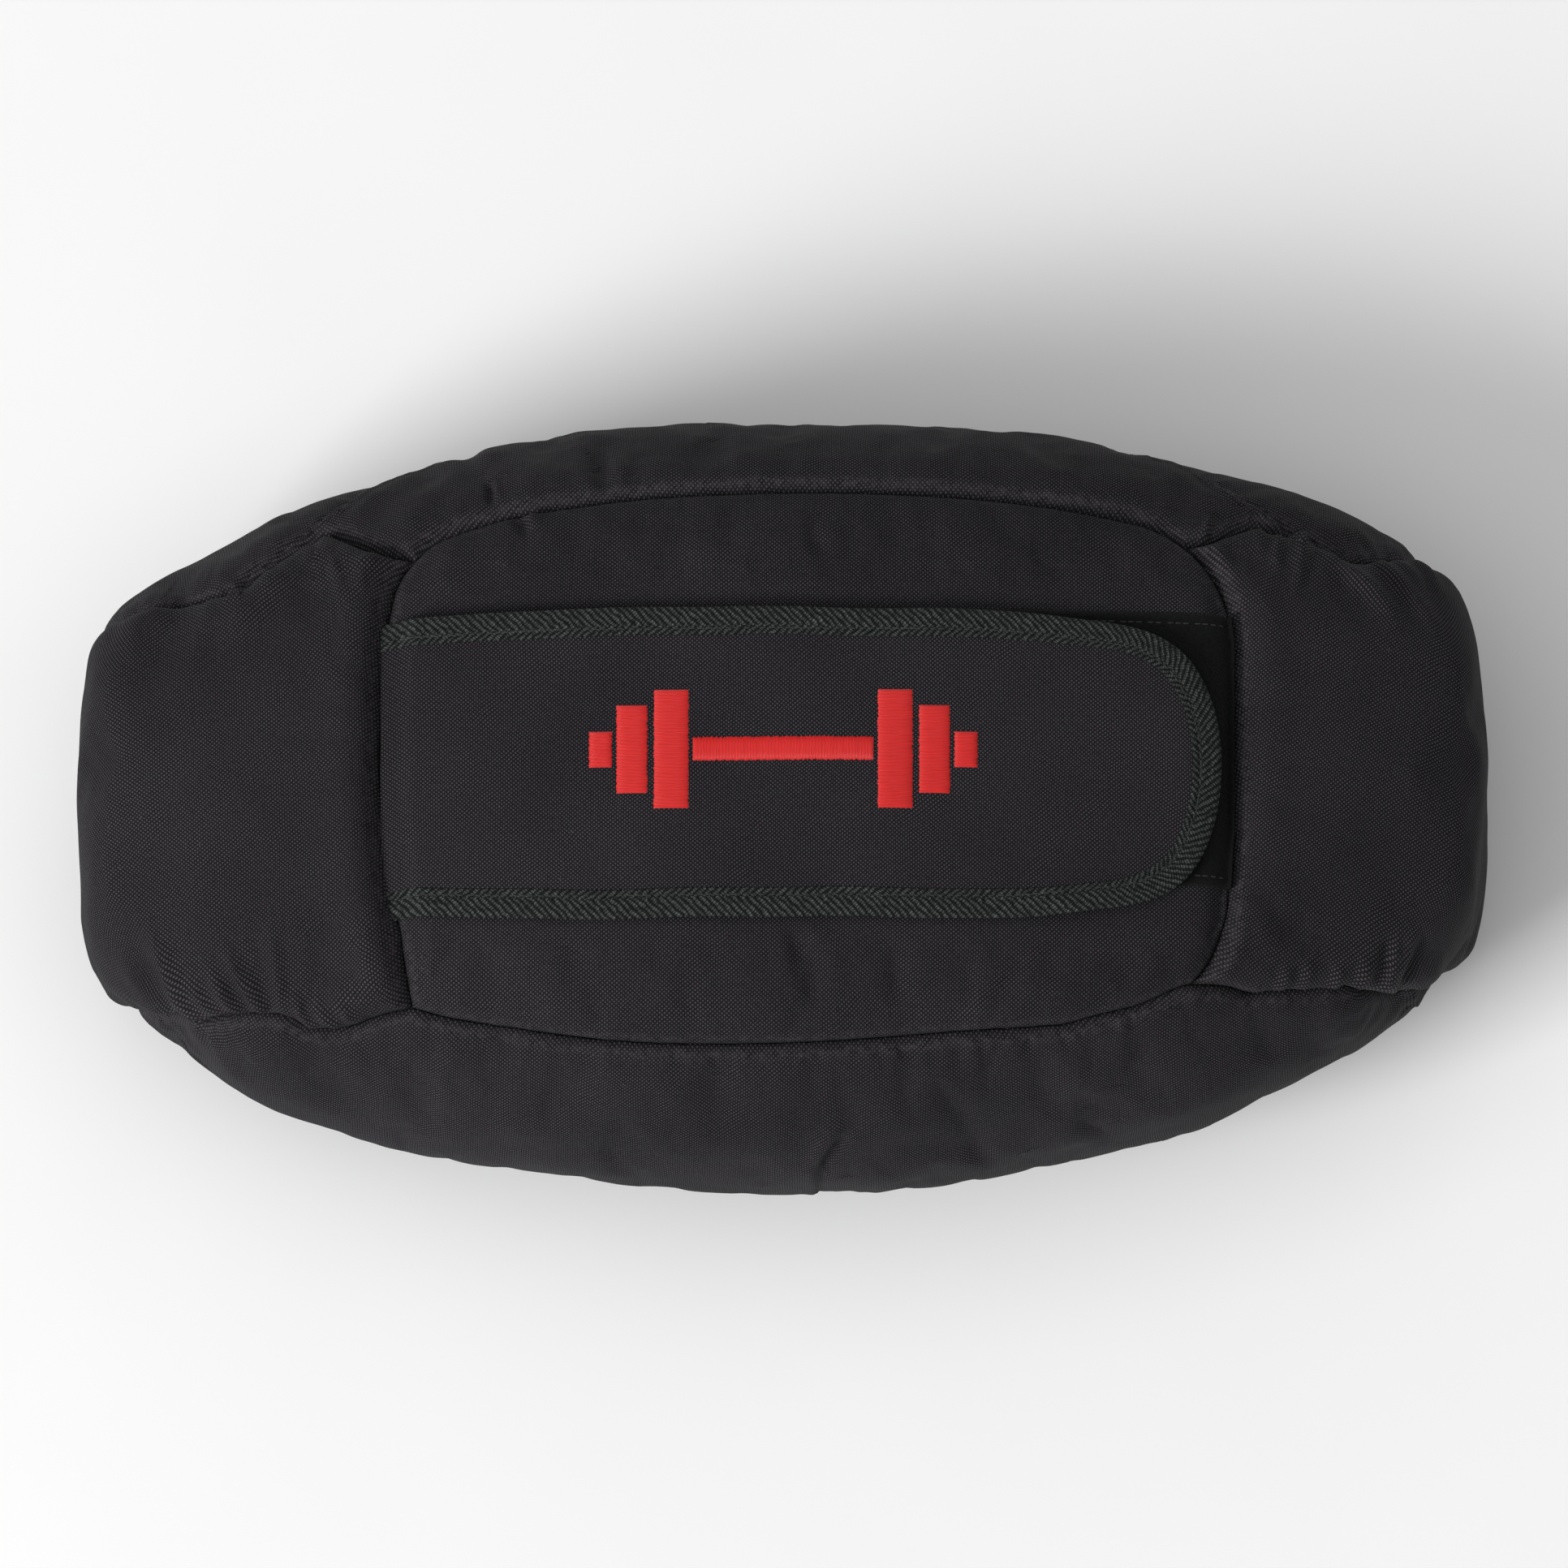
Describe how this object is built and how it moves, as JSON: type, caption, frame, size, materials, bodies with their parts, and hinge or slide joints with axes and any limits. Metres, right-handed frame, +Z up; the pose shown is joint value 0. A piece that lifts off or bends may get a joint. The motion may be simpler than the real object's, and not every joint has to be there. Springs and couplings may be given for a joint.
{
  "type": "sandbag",
  "caption": "Barrel-shaped black woven-nylon sandbag on its back, with a bound flap closing on loop tape over a short zip, and a coated inner bag of sand.",
  "frame": {"origin": "on the floor under the middle of the bag, which lies on its back panel", "axes": "+X along the bag, from the flap's sewn root to its tip; +Z up, out of the front panel; +Y across"},
  "size_m": [0.538, 0.297, 0.2],
  "materials": {
    "bag_fabric": "matte",
    "edge_tape": "matte",
    "loop_tape": "matte",
    "hook_tape": "matte",
    "emblem_thread": "satin",
    "zip_tape": "matte",
    "zip_teeth": "satin",
    "slider_metal": "satin",
    "liner_fabric": "satin",
    "sand": "matte"
  },
  "bodies": {
    "bag": {"front_panel": "bag_fabric", "left_end_panel": "bag_fabric", "right_end_panel": "bag_fabric", "upper_gusset": "bag_fabric", "lower_gusset": "bag_fabric", "back_panel": "bag_fabric", "loop_patch": "loop_tape", "zipper_tape_upper": "zip_tape", "zipper_tape_lower": "zip_tape", "zipper_teeth_upper": "zip_teeth", "zipper_teeth_lower": "zip_teeth", "zipper_stops": "zip_teeth", "inner_liner": "liner_fabric", "liner_closure": "liner_fabric", "sand_fill": "sand"},
    "flap": {"flap_face_root": "bag_fabric", "flap_lining_root": "bag_fabric", "flap_binding_root": "edge_tape", "hook_patch_root": "hook_tape", "flap_emblem": "emblem_thread"},
    "flap_tip": {"flap_face_tip": "bag_fabric", "flap_lining_tip": "bag_fabric", "flap_binding_tip": "edge_tape", "hook_patch_tip": "hook_tape"},
    "zip_slider": {"zipper_slider": "slider_metal", "zipper_bridge": "slider_metal"},
    "zip_pull": {"zipper_pull": "slider_metal"}
  },
  "joints": [
    {"name": "flap_hinge", "type": "hinge", "parent": "bag", "child": "flap", "pos_m": [-0.149, 0, 0.18768], "axis": [0, -1, 0], "range_deg": [0, 150]},
    {"name": "flap_tip_bend", "type": "hinge", "parent": "flap", "child": "flap_tip", "pos_m": [0.088, 0, 0.19572], "axis": [0, -1, 0], "range_deg": [0, 70]},
    {"name": "zip_travel", "type": "hinge", "parent": "bag", "child": "zip_slider", "pos_m": [0, 0, -0.707], "axis": [0, -1, 0], "range_deg": [0, 7.29]},
    {"name": "pull_lift", "type": "hinge", "parent": "zip_slider", "child": "zip_pull", "pos_m": [-0.01403, 0, 0.19471], "axis": [0, -1, 0], "range_deg": [0, 75]}
  ],
  "couplings": [
    {"joint": "pull_lift", "follows": "flap_hinge", "ratio": 0.5}
  ]
}
